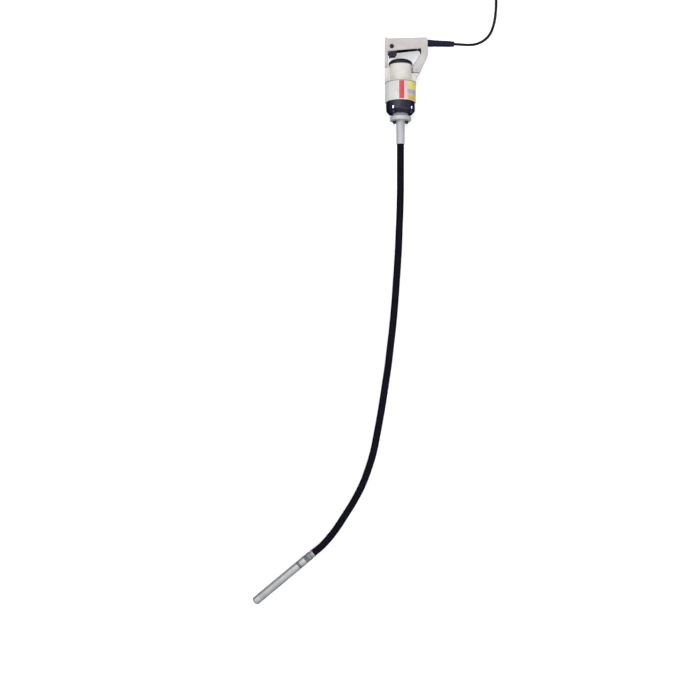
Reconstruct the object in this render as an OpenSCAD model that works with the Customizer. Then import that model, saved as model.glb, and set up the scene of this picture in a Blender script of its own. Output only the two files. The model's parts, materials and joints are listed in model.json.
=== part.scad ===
// Electric concrete vibrator: hand-held motor with a D handle, flexible hose and poker head.
// It lies on the floor. +Z is up, +Y runs along the motor towards the handle, +X to the cord side.
// The origin is on the floor, under the middle of the object's box.
// The motor is drawn upright, with its axis on z and its label side facing -y, then laid down.

/* [Motor] */
// Radius of the motor housing, which rests on the floor
body_r = 53; // [50:0.5:58]
// Length of the motor housing
body_len = 66; // [64:1:72]
// Radius of the black front bracket
ring_r = 49.5; // [48.5:0.5:50]
// Length of the front bracket
ring_len = 40; // [40:1:44]
// Radius of the rear housing that carries brushes and handle
cap_r = 39.5; // [39:0.5:41]
// Radius of the black dome cover
dome_r = 41; // [40:0.5:42]
// Height of the dome cover
dome_h = 21; // [18:1:22]

/* [Handle] */
// Depth of the handle from front to back
grip_depth = 30; // [30:1:32]
// Wall thickness of the handle shells
grip_wall = 3; // [2.5:0.5:3]
// Radius of the lock-on button
button_r = 7; // [6:0.5:7.5]

/* [Coupling] */
// Radius of the bright coupling flange
flange_r = 36.5; // [34:0.5:40]
// Radius of the two dark nuts under the flange
nut_r = 5.8; // [5:0.2:5.8]
// Outer radius of the sleeve tube
sleeve_r = 14.5; // [14.5:0.5:15]
// Lower end of the sleeve, measured from the front bracket
sleeve_end = -103; // [-110:1:-100]

/* [Hose] */
// Outer diameter of the hose
hose_d = 24.6; // [24:0.2:26]
// Diameter of the rotating wire core
core_d = 10; // [8:0.5:10]

/* [Head] */
// Outer radius of the poker head
head_r = 14; // [14:0.5:15]
// Length of the poker head with its collars
head_len = 268; // [266:1:270]
// Direction of the head, from the tip to the hose, in degrees from +X
head_angle = 39.8; // [38:0.1:42]

/* [Mains lead] */
// Diameter of the mains lead
lead_d = 9; // [8:0.5:10]

/* [Hidden] */
$fn = 64;

// Place of the motor: x and y of the front bracket's lower face on the floor plan
motor_x = 163;
motor_y = 717;

// Heights on the upright motor
housing_z0 = ring_len;
housing_z1 = housing_z0 + body_len;
cap_z0 = housing_z1;
cap_flange = 3;
cap_z1 = 168;
dome_wall = 5;
grip_right = 93;
half_grip = grip_depth / 2;
grip_chamfer = 3;
housing_wall = 5;

// Lying parts
lead_r = lead_d / 2;
hose_r = hose_d / 2;
core_r = core_d / 2;

// Where the head meets the hose
head_joint_at = [-138, -802, head_r];

// Hose route, from the sleeve to the head
hose_route = [
    [163, 614, 53], [163, 572, 52.5], [163, 510, 50], [163, 450, 45], [162, 390, 38], [160, 330, 30],
    [158, 270, 23], [155, 210, 17], [151, 150, 14], [147, 90, 12.6], [142, 30, 12.4], [136, -30, 12.4],
    [129, -90, 12.4], [122, -150, 12.4], [113, -210, 12.4], [104, -270, 12.4], [94, -330, 12.4],
    [83, -390, 12.4], [71, -450, 12.4], [54, -507, 12.4], [33, -563, 12.4], [5, -618, 12.4],
    [-27, -670, 12.4], [-60, -720, 12.6], [-91, -759, 13.2], [-115, -783, 14], [-137.7, -801.75, 14]
];

// Mains lead: it leaves the handle on this axis, and follows a route from the guard to the coil
guard_seat = [grip_right, 0, 245.5];
guard_drop = 2;
guard_len = 92;
lead_route = [
    [347.9, 959.3, 53], [371, 958.5, 51], [396, 959.4, 44], [421, 964, 34], [444, 975, 23], [464, 991, 13],
    [480, 1012, 7], [490, 1038, 5], [496, 1066, 4.6], [499, 1094, 4.6], [500, 1122, 4.6],
    [500, 1150, 4.6], [500, 1180, 4.6], [499.7, 1210, 4.6]
];

// Coil of the unseen length: centre, radius to the middle of its turns, and its section
coil_at = [442, 1232, 0];
coil_r = 48;
coil_w = 27.8;
coil_h = 27.6;

// ---- helpers ----

// Lays the upright motor on the floor
module lay_motor() {
    translate([motor_x, motor_y, body_r]) rotate([-90, 0, 0]) children();
}

// Puts a piece drawn along z from the head's tip on the lying head
module lay_head() {
    translate(head_joint_at) rotate([0, 0, head_angle]) rotate([0, 90, 0])
        translate([0, 0, -head_len]) children();
}

// Puts a round piece drawn along z on the axis of the cord guard
module on_guard_axis() {
    translate(guard_seat) rotate([0, 90 + guard_drop, 0]) children();
}

// A plain tube between two heights
module tube(ro, ri, z0, z1) {
    difference() {
        translate([0, 0, z0]) cylinder(r = ro, h = z1 - z0);
        translate([0, 0, z0 - 1]) cylinder(r = ri, h = z1 - z0 + 2);
    }
}

// A solid disc between two heights
module disc(r, z0, z1) {
    translate([0, 0, z0]) cylinder(r = r, h = z1 - z0);
}

// A solid pin along y, from y0 to y1
module pin_y(x, z, r, y0, y1) {
    translate([x, y1, z]) rotate([90, 0, 0]) cylinder(r = r, h = y1 - y0);
}

// A flat outline in x and z, made y-deep to both sides
module plate_y(half) {
    translate([0, half, 0]) rotate([90, 0, 0]) linear_extrude(2 * half) children();
}

// A box from two corners
module block(a, b) {
    translate(a) cube(b - a);
}

function unit(v) = v / norm(v);
function tangent(p, i) = unit(p[min(i + 1, len(p) - 1)] - p[max(i - 1, 0)]);
// The ring of points round point i of a route, for routes that never run straight up or down
function ring_at(p, i, r, sides) =
    let(t = tangent(p, i), s = unit(cross(t, [0, 0, 1])), u = cross(s, t))
    [for (k = [0:sides - 1]) p[i] + r * (cos(360 * k / sides) * s + sin(360 * k / sides) * u)];

// A closed tube along a route
module swept(p, r, sides) {
    n = len(p);
    points = [for (i = [0:n - 1]) each ring_at(p, i, r, sides)];
    walls = [for (i = [0:n - 2], k = [0:sides - 1])
        [i * sides + k, i * sides + (k + 1) % sides,
         (i + 1) * sides + (k + 1) % sides, (i + 1) * sides + k]];
    first = [for (k = [sides - 1:-1:0]) k];
    last = [for (k = [0:sides - 1]) (n - 1) * sides + k];
    polyhedron(points, concat([first], walls, [last]), convexity = 8);
}

// A swept tube with a bore
module swept_hollow(p, ro, ri, sides) {
    n = len(p);
    ring = 2 * sides;
    points = [for (i = [0:n - 1])
        each concat(ring_at(p, i, ro, sides), ring_at(p, i, ri, sides))];
    outer = [for (i = [0:n - 2], k = [0:sides - 1])
        [i * ring + k, i * ring + (k + 1) % sides,
         (i + 1) * ring + (k + 1) % sides, (i + 1) * ring + k]];
    inner = [for (i = [0:n - 2], k = [0:sides - 1])
        [i * ring + sides + k, (i + 1) * ring + sides + k,
         (i + 1) * ring + sides + (k + 1) % sides, i * ring + sides + (k + 1) % sides]];
    first = [for (k = [0:sides - 1])
        [k, sides + k, sides + (k + 1) % sides, (k + 1) % sides]];
    top = (n - 1) * ring;
    last = [for (k = [0:sides - 1])
        [top + k, top + (k + 1) % sides, top + sides + (k + 1) % sides, top + sides + k]];
    polyhedron(points, concat(outer, inner, first, last), convexity = 8);
}

// A coil spring along z, with its wire swept along a helix
module spring(r, wire, length, turns) {
    steps = 12;
    helix = [for (i = [0:turns * steps])
        [r * cos(360 * i / steps), r * sin(360 * i / steps),
         wire + (length - 2 * wire) * i / (turns * steps)]];
    swept(helix, wire, 6);
}

// A ball bearing's outer ring with its balls, and its inner ring
module bearing_outer(ro, ri, w, balls) {
    mid = (ro + ri) / 2;
    gap = (ro - ri) / 4;
    difference() {
        tube(ro, mid + gap * 0.5, 0, w);
        translate([0, 0, w / 2]) rotate_extrude() translate([mid, 0]) circle(r = gap * 0.92);
    }
    for (k = [0:balls - 1]) rotate(360 * k / balls)
        translate([mid, 0, w / 2]) sphere(r = gap * 0.85, $fn = 32);
}

module bearing_inner(ro, ri, w) {
    mid = (ro + ri) / 2;
    gap = (ro - ri) / 4;
    difference() {
        tube(mid - gap * 0.5, ri, 0, w);
        translate([0, 0, w / 2]) rotate_extrude() translate([mid, 0]) circle(r = gap * 0.95);
    }
}

// ---- handle ----

// A flat round piece of the handle with chamfered edges
module puck(x, z, r) {
    flat = half_grip - grip_chamfer;
    pin_y(x, z, r, -flat, flat, $fn = 32);
    pin_y(x, z, r - grip_chamfer, -half_grip, half_grip, $fn = 32);
}

// A bar of the handle, round pucks given as [x, z, radius]
module link(pucks) {
    hull() for (p = pucks) puck(p[0], p[1], p[2]);
}

left_joint_z = 160.5;
right_joint_z = 141;
joint_gap = 2;
left_bolt = [-49, 165.5];
right_bolt = [55, 149];

// The whole D outline, as four blended bars
module handle_solid() {
    link([[-48, 252.5, 6], [-48, 220, 6], [85, 254.5, 8], [83, 234, 10]]);
    link([[-49.2, 257.5, 4.8], [-49.2, 158, 4.8]]);
    link([[81, 250, 12], [81, 203, 12]]);
    link([[81, 203, 12], [56, 150, 12], [52, 160, 12], [46, 146, 6]]);
}

// The cavity inside the grip, without its screw pillars and the pedestal of the cord clamp
module handle_hollow() {
    difference() {
        plate_y(half_grip - grip_wall) polygon([
            [-50, 224], [-2, 224], [84, 228], [84, 258], [-50, 255]]);
        for (s = shell_screws) pin_y(s[0], s[1], 4.6, -13, 13);
        block([56, -10, 220], [66, 10, clamp_z0]);
    }
}

trigger_x0 = -36;
trigger_x1 = -13;
trigger_half = 7;
slot_gap = 0.3;

module handle_shell() {
    difference() {
        handle_solid();
        handle_hollow();
        // trigger slot in the underside
        block([trigger_x0 - slot_gap, -trigger_half - slot_gap, 211],
            [trigger_x1 + slot_gap, trigger_half + slot_gap, 228]);
        // flat ends on the two ears of the rear housing
        block([-70, -20, 120], [-30, 20, left_joint_z]);
        block([30, -20, 120], [80, 20, right_joint_z]);
        // tongues of the ears
        block([-52, -4, 150], [-46, 4, 171]);
        block([47, -5, 130], [63, 5, 155]);
        for (b = [left_bolt, right_bolt]) {
            pin_y(b[0], b[1], 2, -20, 20);
            pin_y(b[0], b[1], 3.7, -20, -11);
            pin_y(b[0], b[1], 3.7, 11, 20);
        }
        // seats of the cord guard and of the pad inside the grip
        on_guard_axis() translate([0, 0, -12]) cylinder(r = 7.6, h = 20);
        pad_solid();
        // lock button
        pin_y(button_x, button_z, button_r + 0.15, -20, 0);
        // assembly screws
        for (s = shell_screws) {
            pin_y(s[0], s[1], 1.6, -8, 20);
            pin_y(s[0], s[1], 3.2, 9, 20);
        }
        // screws of the cord clamp
        for (y = clamp_screw_y) translate([clamp_x, y, 230]) cylinder(r = 1.6, h = 20);
    }
}

// The pad follows the inner edge of the grip and turns down the right leg
pad_half = half_grip - grip_chamfer;
pad_corner = [60.2, 214.5];
pad_corner_r = 8;
pad_x0 = trigger_x1 + slot_gap;

module pad_solid() {
    plate_y(pad_half) polygon(concat(
        [[pad_x0, 218.4], [pad_x0, 214.6]],
        [for (a = [90:-15:0]) pad_corner + pad_corner_r * [cos(a), sin(a)]],
        [[68.2, 204], [70.5, 204], [70.5, 225]]));
}

module grip_pad() {
    color([0.09, 0.09, 0.13]) lay_motor() pad_solid();
}

button_x = -30.5;
button_z = 231;
clamp_x = 61;
clamp_z0 = 238.8;
clamp_z1 = 241.5;
clamp_screw_y = [-7, 7];
shell_screws = [[-47, 246], [26, 236], [77, 235], [81, 204], [64, 164]];

module handle_front_shell() {
    color([0.83, 0.81, 0.79]) lay_motor() intersection() {
        handle_shell();
        block([-80, -40, 100], [120, 0, 280]);
    }
}

module handle_back_shell() {
    color([0.83, 0.81, 0.79]) lay_motor() intersection() {
        handle_shell();
        block([-80, 0, 100], [120, 40, 280]);
    }
}

module handle_screws() {
    color([0.25, 0.25, 0.27]) lay_motor() for (s = shell_screws) {
        pin_y(s[0], s[1], 1.5, -7, 9.5);
        difference() {
            pin_y(s[0], s[1], 3.1, 9.01, 12);
            block([s[0] - 2.2, 11, s[1] - 0.4], [s[0] + 2.2, 13, s[1] + 0.4]);
            block([s[0] - 0.4, 11, s[1] - 2.2], [s[0] + 0.4, 13, s[1] + 2.2]);
        }
    }
}

module cross_bolt(x, z) {
    pin_y(x, z, 1.9, -12, 12);
    difference() {
        pin_y(x, z, 3.6, -13.6, -11);
        pin_y(x, z, 1.8, -14, -12.4, $fn = 6);
    }
    pin_y(x, z, 3.6, 11, 13.6, $fn = 6);
}

module handle_cross_bolts() {
    color([0.2, 0.2, 0.22]) lay_motor() for (b = [left_bolt, right_bolt]) cross_bolt(b[0], b[1]);
}

trigger_top = 224.5;

// Trigger with two ears that hold it in the grip
module trigger() {
    color([0.08, 0.07, 0.2]) lay_motor() {
        plate_y(trigger_half) polygon([
            [trigger_x0, trigger_top], [trigger_x0, 210], [-43.4, 209], [-43.4, 205], [-40, 203.5],
            [-39.5, 197.5], [-37.5, 192.5], [-33, 197], [-18, 197], [trigger_x1, 207],
            [trigger_x1, trigger_top]
        ]);
        for (x = [trigger_x0 - 5, trigger_x1 - 1])
            block([x, -trigger_half, trigger_top], [x + 6, trigger_half, trigger_top + 1.5]);
    }
}

module trigger_spring() {
    color([0.7, 0.7, 0.72]) lay_motor() translate([-38.6, 0, trigger_top + 1.5])
        spring(1.9, 0.4, 10, 5);
}

// Switch block, with the seats of both springs
module switch_block() {
    color([0.12, 0.12, 0.13]) lay_motor() {
        block([-42, -9, 239], [-5, 11, 253]);
        block([-42, -4, 236], [-35, 4, 239.1]);
        block([button_x - 3, -3.2, 229], [button_x + 3, 2, 239.1]);
    }
}

module lock_button() {
    color([0.05, 0.05, 0.07]) lay_motor() {
        pin_y(button_x, button_z, button_r, -16.6, -11.2);
        pin_y(button_x, button_z, button_r - 1.2, -18, -16.6);
    }
}

module button_spring() {
    color([0.7, 0.7, 0.72]) lay_motor() translate([button_x, -11.2, button_z]) rotate([-90, 0, 0])
        spring(1.6, 0.35, 8, 5);
}

// Tapered rubber guard round the mains lead, with a collar held in the shells
module cord_guard() {
    color([0.15, 0.14, 0.24]) lay_motor() on_guard_axis() difference() {
        rotate_extrude() polygon([
            [lead_r, -8.5], [7.4, -8.5], [7.4, 0.6], [12, 0.6], [12, 8], [11.2, 20], [10.6, 45],
            [10.2, 74], [8.4, guard_len], [lead_r, guard_len]
        ]);
        // flex slots on both sides
        for (k = [0:4], side = [-1, 1])
            translate([side * 11.2, 0, 28 + 12 * k]) cube([5, 24, 3], center = true);
    }
}

// The mains lead inside the guard and the grip
module lead_entry() {
    color([0.06, 0.06, 0.08]) lay_motor() on_guard_axis()
        translate([0, 0, -37]) cylinder(r = lead_r - 0.02, h = guard_len + 37);
}

module cord_clamp() {
    color([0.3, 0.3, 0.32]) lay_motor() difference() {
        block([56.5, -10, clamp_z0], [65.5, 10, clamp_z1]);
        for (y = clamp_screw_y) translate([clamp_x, y, 230]) cylinder(r = 1.6, h = 20);
    }
}

module cord_clamp_screws() {
    color([0.7, 0.7, 0.72]) lay_motor() for (y = clamp_screw_y) translate([clamp_x, y, 0]) {
        disc(1.5, 231, clamp_z1);
        disc(2.8, clamp_z1, clamp_z1 + 1.8);
    }
}

// Two wires from the switch to the end of the lead
module switch_wires() {
    color([0.5, 0.1, 0.1]) lay_motor() for (y = [-2, 2])
        swept([[-5, 3 * y, 247], [4, 3 * y, 247], [18, 2.4 * y, 247], [32, 1.5 * y, 247],
            [44, y, 246.9], [56, y, 246.8]], 1.2, 8);
}

// ---- motor ----

module rear_housing() {
    color([0.86, 0.84, 0.81]) lay_motor() difference() {
        union() {
            disc(body_r, cap_z0, cap_z0 + cap_flange);
            disc(cap_r, cap_z0, cap_z1);
            // ears under the handle's legs, with tongues that go up into them
            plate_y(half_grip) polygon([
                [-53.5, cap_z0], [-30, cap_z0], [-30, left_joint_z - joint_gap],
                [-53.5, left_joint_z - joint_gap]]);
            plate_y(half_grip) polygon([
                [30, cap_z0], [53, cap_z0], [53, 122], [62.5, right_joint_z - joint_gap],
                [30, right_joint_z - joint_gap]]);
            block([-51.9, -3.9, left_joint_z - joint_gap - 1], [-46.1, 3.9, 170.5]);
            block([47.1, -4.9, right_joint_z - joint_gap - 1], [60, 4.9, 154.5]);
        }
        // brush chamber and bearing seat
        disc(36, cap_z0 - 1, 155);
        disc(15, 154, 166);
        disc(6, 160, cap_z1 + 1);
        // air slots in the roof, under the dome
        for (k = [0:5]) rotate(60 * k + 30) translate([25, 0, 150]) cylinder(r = 5, h = 30);
        // bolt holes through the tongues
        for (b = [left_bolt, right_bolt]) pin_y(b[0], b[1], 2, -20, 20);
        // countersunk screw holes of the flange
        for (a = cap_screw_angles) rotate(a) {
            translate([cap_screw_at, 0, cap_z0 - 1]) cylinder(r = 1.5, h = 9);
            translate([cap_screw_at, 0, cap_z0 + 1.2]) cylinder(r = 2.7, h = 40);
        }
    }
}

// Small screws that hold the rear housing on the rim of the motor housing
cap_screw_angles = [40, 140, 220, 320];
cap_screw_at = body_r - housing_wall + 1.6;

module rear_housing_screws() {
    color([0.75, 0.75, 0.76]) lay_motor() for (a = cap_screw_angles) rotate(a)
        translate([cap_screw_at, 0, 0]) {
            disc(1.4, cap_z0 - 9, cap_z0 + 1.3);
            difference() {
                disc(2.6, cap_z0 + 1.21, cap_z0 + 3.4);
                block([-0.35, -1.8, cap_z0 + 2.6], [0.35, 1.8, cap_z0 + 4]);
                block([-1.8, -0.35, cap_z0 + 2.6], [1.8, 0.35, cap_z0 + 4]);
            }
        }
}

// Half of the dome's section above its straight wall: an arc from one angle to another
function dome_arc(r, h, from, step, to) =
    [for (a = [from:step:to]) [r * cos(a), cap_z1 + dome_wall + (h - dome_wall) * sin(a)]];

module dome_cover() {
    color([0.06, 0.06, 0.08]) lay_motor() rotate_extrude() polygon(concat(
        [[dome_r, cap_z1]], dome_arc(dome_r, dome_h, 0, 6, 90),
        dome_arc(dome_r - 3, dome_h - 3, 90, -6, 0), [[dome_r - 3, cap_z1]]));
}

brush_z = 129;

module brush_holders() {
    color([0.75, 0.62, 0.3]) lay_motor() for (a = [0, 180]) rotate(a) difference() {
        block([-5.5, -35.4, brush_z - 7], [5.5, -17, brush_z + 7]);
        block([-4, -40, brush_z - 5.5], [4, -10, brush_z + 5.5]);
    }
}

module carbon_brushes() {
    color([0.15, 0.15, 0.16]) lay_motor() for (a = [0, 180]) rotate(a)
        block([-3.9, -28, brush_z - 5.4], [3.9, -14.4, brush_z + 5.4]);
}

module brush_springs() {
    color([0.7, 0.7, 0.72]) lay_motor() for (a = [0, 180]) rotate(a)
        translate([0, -28, brush_z]) rotate([90, 0, 0]) spring(3, 0.4, 7.2, 4);
}

module motor_housing() {
    color([0.86, 0.86, 0.84]) lay_motor() difference() {
        disc(body_r, housing_z0, housing_z1);
        disc(body_r - housing_wall, housing_z0 + 6, housing_z1 + 1);
        disc(40.5, housing_z0 - 1, housing_z0 + 7);
        for (a = bracket_screw_angles) rotate(a)
            translate([0, -screw_pitch_r, 30]) cylinder(r = 2.5, h = 20);
        for (a = cap_screw_angles) rotate(a)
            translate([cap_screw_at, 0, housing_z1 - 9.5]) cylinder(r = 1.45, h = 12);
        // shallow seats of the label plates
        for (p = concat([red_band], side_plates)) label_solid(p, body_r - label_depth, body_r + 1);
    }
}

// Label plates on the housing: start angle from the front towards the cord side, sweep,
// lower and upper height
red_band = [-8, 19, 43, 104];
side_plates = [[24, 42, 78, 103], [24, 42, 61, 76], [24, 42, 42, 59]];
label_depth = 0.3;

module label_solid(p, r0, r1) {
    rotate([0, 0, -90 + p[0]]) rotate_extrude(angle = p[1])
        translate([r0, p[2]]) square([r1 - r0, p[3] - p[2]]);
}

module label_red_band() {
    color([0.78, 0.11, 0.12]) lay_motor() label_solid(red_band, body_r - label_depth, body_r);
}

module label_side_plates() {
    color([0.92, 0.85, 0.45]) lay_motor()
        for (p = side_plates) label_solid(p, body_r - label_depth, body_r);
}

stator_z0 = 48;
stator_z1 = 98;
bore_r = 25.5;

module stator_core() {
    color([0.45, 0.46, 0.48]) lay_motor() difference() {
        tube(body_r - housing_wall, bore_r, stator_z0, stator_z1);
        for (side = [0, 180]) rotate(side - 27) translate([0, 0, stator_z0 - 1])
            rotate_extrude(angle = 54) translate([20, 0]) square([16.5, stator_z1 - stator_z0 + 2]);
    }
}

// Two field coils, one at the front pole and one at the back
module field_coils() {
    color([0.62, 0.3, 0.12]) lay_motor() for (side = [0, 180]) rotate(side) {
        intersection() {
            tube(35.5, 27, stator_z0 - 1, stator_z1 + 1);
            block([-60, 0.5, 0], [60, 11.5, 200]);
        }
        intersection() {
            union() {
                tube(40, 27, stator_z1, stator_z1 + 6);
                tube(40, 27, stator_z0 - 6, stator_z0);
            }
            block([-60, 0.5, 0], [60, 60, 200]);
        }
    }
}

shaft_r = 6.5;
journal_front = 7.5;
journal_rear = 5;

module armature_shaft() {
    color([0.7, 0.71, 0.73]) lay_motor() {
        disc(journal_front, -12, 30);
        disc(shaft_r, 30, 156);
        disc(journal_rear, 156, 167);
    }
}

module armature_core() {
    color([0.4, 0.41, 0.43]) lay_motor() difference() {
        tube(bore_r - 0.5, shaft_r, stator_z0, stator_z1);
        for (k = [0:11]) rotate(30 * k) translate([21.5, 0, stator_z0 - 1]) {
            cylinder(r = 2.4, h = 60);
            block([0, -0.8, 0], [6, 0.8, 60]);
        }
    }
}

module armature_windings() {
    color([0.66, 0.33, 0.14]) lay_motor() {
        for (k = [0:11]) rotate(30 * k)
            translate([21.5, 0, 0]) disc(2.3, stator_z0 - 0.5, stator_z1 + 0.5);
        rotate_extrude() polygon([
            [shaft_r, 98], [24.4, 98], [24.4, 104], [20, 110], [13, 113], [shaft_r, 113]]);
        rotate_extrude() polygon([
            [shaft_r, 48], [24.4, 48], [24.4, 43], [20, 41.5], [shaft_r, 41.5]]);
    }
}

module commutator() {
    color([0.72, 0.45, 0.25]) lay_motor() difference() {
        tube(14, shaft_r, 116, 139);
        for (k = [0:23]) rotate(15 * k) block([12.6, -0.25, 119], [15, 0.25, 140]);
    }
}

module fan() {
    color([0.16, 0.16, 0.18]) lay_motor() {
        tube(12, journal_front, 27, 30);
        tube(12, shaft_r, 30, 40);
        tube(38, 11, 28, 30);
        for (k = [0:10]) rotate(360 / 11 * k) translate([0, 0, 30]) linear_extrude(9.5) polygon([
            [11, -1], [22, 2.2], [37.5, 9], [37, 11], [21, 4.4], [11, 1]]);
    }
}

front_bearing_z = 12;
rear_bearing_z = 156.5;

module front_bearing_outer() {
    color([0.75, 0.76, 0.78]) lay_motor()
        translate([0, 0, front_bearing_z]) bearing_outer(17.5, 7.5, 11, 8);
}

module front_bearing_inner() {
    color([0.75, 0.76, 0.78]) lay_motor() translate([0, 0, front_bearing_z]) bearing_inner(17.5, 7.5, 11);
}

module rear_bearing_outer() {
    color([0.75, 0.76, 0.78]) lay_motor() translate([0, 0, rear_bearing_z]) bearing_outer(15, 5, 9, 7);
}

module rear_bearing_inner() {
    color([0.75, 0.76, 0.78]) lay_motor() translate([0, 0, rear_bearing_z]) bearing_inner(15, 5, 9);
}

// The screws sit in open pockets round the bracket, turned a little from the front
bracket_screw_angles = [-36, 54, 144, 234];
screw_pitch_r = 44;
pocket_top = 21;

module front_bracket() {
    color([0.1, 0.12, 0.18]) lay_motor() difference() {
        rotate_extrude() polygon([
            [neck_r, 0], [40, 0], [ring_r - 2, 8], [ring_r, 12], [ring_r, ring_len], [45, ring_len],
            [45, 26], [17.5, 26], [17.5, 12], [11, 12], [11, 9], [neck_r, 9]]);
        for (a = bracket_screw_angles) rotate(a) {
            hull() {
                translate([0, -screw_pitch_r - 1, -1]) cylinder(r = 8, h = pocket_top + 1, $fn = 32);
                translate([0, -56, -1]) cylinder(r = 9, h = pocket_top + 1, $fn = 32);
            }
            translate([0, -screw_pitch_r, 0]) cylinder(r = 2.7, h = 60);
        }
    }
}

module bracket_screws() {
    color([0.85, 0.85, 0.86]) lay_motor() for (a = bracket_screw_angles) rotate(a)
        translate([0, -screw_pitch_r, 0]) {
            disc(2.5, pocket_top, housing_z0 + 6);
            tube(6.4, 2.4, pocket_top - 1.6, pocket_top);
            difference() {
                disc(4.8, pocket_top - 8.4, pocket_top - 0.01);
                translate([0, 0, pocket_top - 9]) cylinder(r = 2.6, h = 4, $fn = 6);
            }
        }
}

neck_r = 26;
flange_top = -9;
flange_end = -23;
nut_at = 21.2;
nut_len = 8;
stud_r = 3;

// Flange with a neck that flares into it, bored for two studs
module coupling_flange() {
    color([0.76, 0.76, 0.78]) lay_motor() difference() {
        rotate_extrude() polygon([
            [12, 8.8], [neck_r, 8.8], [neck_r, -3], [neck_r + 3, flange_top],
            [flange_r - 1.5, flange_top], [flange_r, flange_top - 1.5], [flange_r, flange_end + 1.5],
            [flange_r - 1.5, flange_end], [sleeve_r, flange_end], [sleeve_r, -6], [12, -6]]);
        for (side = [-1, 1]) translate([side * nut_at, 0, flange_end - 1])
            cylinder(r = stud_r + 0.1, h = 11);
    }
}

// Two studs with their nuts, one on each side of the sleeve
module flange_nuts() {
    color([0.12, 0.12, 0.14]) lay_motor() for (side = [-1, 1]) translate([side * nut_at, 0, 0]) {
        disc(stud_r, flange_end - nut_len - 2, flange_end + 9);
        translate([0, 0, flange_end - nut_len]) cylinder(r = nut_r, h = nut_len, $fn = 6);
    }
}

module sleeve_tube() {
    color([0.75, 0.75, 0.75]) lay_motor() rotate_extrude() polygon([
        [10, -6], [sleeve_r, -6], [sleeve_r, sleeve_end + 1], [sleeve_r - 1, sleeve_end],
        [10, sleeve_end]]);
}

module drive_coupling() {
    color([0.55, 0.56, 0.58]) lay_motor() difference() {
        disc(8.5, -40, -2);
        disc(journal_front, -12, 0);
        translate([0, 0, -41]) rotate(45) cylinder(r = 6, h = 19, $fn = 4);
    }
}

module core_end_motor() {
    color([0.6, 0.61, 0.63]) lay_motor() {
        translate([0, 0, -40]) rotate(45) cylinder(r = 5.9, h = 16, $fn = 4);
        disc(6.5, sleeve_end + 0.5, -40.2);
        disc(4, -41, -39.9);
    }
}

// ---- hose ----

module hose() {
    color([0.07, 0.07, 0.12]) swept_hollow(hose_route, hose_r, 8.2, 12);
}

module hose_liner() {
    color([0.5, 0.5, 0.52]) swept_hollow(hose_route, 8, 6.6, 12);
}

module wire_core() {
    color([0.42, 0.42, 0.44]) swept(hose_route, core_r, 8);
}

// ---- poker head, drawn along z from the tip ----

tube_start = 28;
tube_end = 200;
groove_end = 231;
thread_end = 257;
head_bore = 11;

module head_tip() {
    color([0.78, 0.78, 0.78]) lay_head() rotate_extrude() polygon(concat(
        [[0, 0], [head_r - 7, 0]],
        [for (a = [-75:15:0]) [head_r - 7 + 7 * cos(a), 7 + 7 * sin(a)]],
        [[head_r, tube_start - 0.8], [head_r - 0.8, tube_start], [head_bore, tube_start],
         [head_bore, 40], [0, 40]]));
}

module head_tube() {
    color([0.78, 0.78, 0.78]) lay_head() rotate_extrude() polygon([
        [head_bore, tube_start], [head_r - 0.8, tube_start], [head_r, tube_start + 0.8],
        [head_r, tube_end - 0.8], [head_r - 0.8, tube_end], [head_bore, tube_end]]);
}

// Joint collar with two grooves
module head_groove_collar() {
    color([0.74, 0.74, 0.74]) lay_head() rotate_extrude() polygon([
        [head_bore, tube_end], [head_r - 0.8, tube_end], [head_r - 0.8, 202], [head_r, 202.8],
        [head_r, 204.5], [head_r - 0.9, 205], [head_r - 0.9, 206.5], [head_r, 207],
        [head_r, groove_end - 0.8], [head_r - 0.8, groove_end], [8, groove_end], [8, 216],
        [head_bore, 216]]);
}

module head_thread_collar() {
    color([0.54, 0.56, 0.56]) lay_head() difference() {
        rotate_extrude() polygon(concat(
            [[8, groove_end], [head_r - 1.6, groove_end]],
            [for (k = [0:5])
                each [[head_r - 0.2, groove_end + 2 + 2 * k], [head_r - 1.2, groove_end + 3 + 2 * k]]],
            [[head_r, groove_end + 14], [head_r, thread_end - 1], [head_r - 1.5, thread_end],
             [8, thread_end]]));
        // two flats for a wrench
        for (k = [0, 180]) rotate(k)
            translate([head_r, 0, thread_end - 6]) cube([2.4, 30, 9], center = true);
    }
}

module hose_ferrule() {
    color([0.72, 0.72, 0.73]) lay_head() rotate_extrude() polygon([
        [8, thread_end], [head_r - 2.6, thread_end], [head_r - 2.6, thread_end + 2],
        [head_r - 0.3, head_len - 2], [head_r - 0.3, head_len], [8, head_len]]);
}

rotor_z0 = 46;

module eccentric_rotor() {
    color([0.5, 0.51, 0.53]) lay_head() {
        disc(4, 41, 206);
        disc(5.4, 53.5, rotor_z0 + 14);
        disc(5.4, 182, 189.5);
        intersection() {
            disc(9.4, 60, 182);
            block([0.01, -12, 50], [12, 12, 190]);
        }
    }
}

head_bearing_z = [46, 190];

module head_bearings_outer() {
    color([0.75, 0.76, 0.78]) lay_head()
        for (z = head_bearing_z) translate([0, 0, z]) bearing_outer(head_bore, 4, 7, 7);
}

module head_bearings_inner() {
    color([0.75, 0.76, 0.78]) lay_head()
        for (z = head_bearing_z) translate([0, 0, z]) bearing_inner(head_bore, 4, 7);
}

module oil_seal() {
    color([0.1, 0.1, 0.1]) lay_head() tube(head_bore, 4.3, 208, 214);
}

module drive_dog() {
    color([0.6, 0.61, 0.63]) lay_head() {
        disc(4, 206, 220);
        disc(6.5, 220, head_len - 0.5);
    }
}

// ---- mains lead ----

module lead_cord() {
    color([0.06, 0.06, 0.08]) swept(lead_route, lead_r, 8);
}

module lead_coil() {
    color([0.06, 0.06, 0.08]) translate(coil_at) rotate_extrude() translate([coil_r - coil_w / 2, 0])
        square([coil_w, coil_h]);
}

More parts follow.
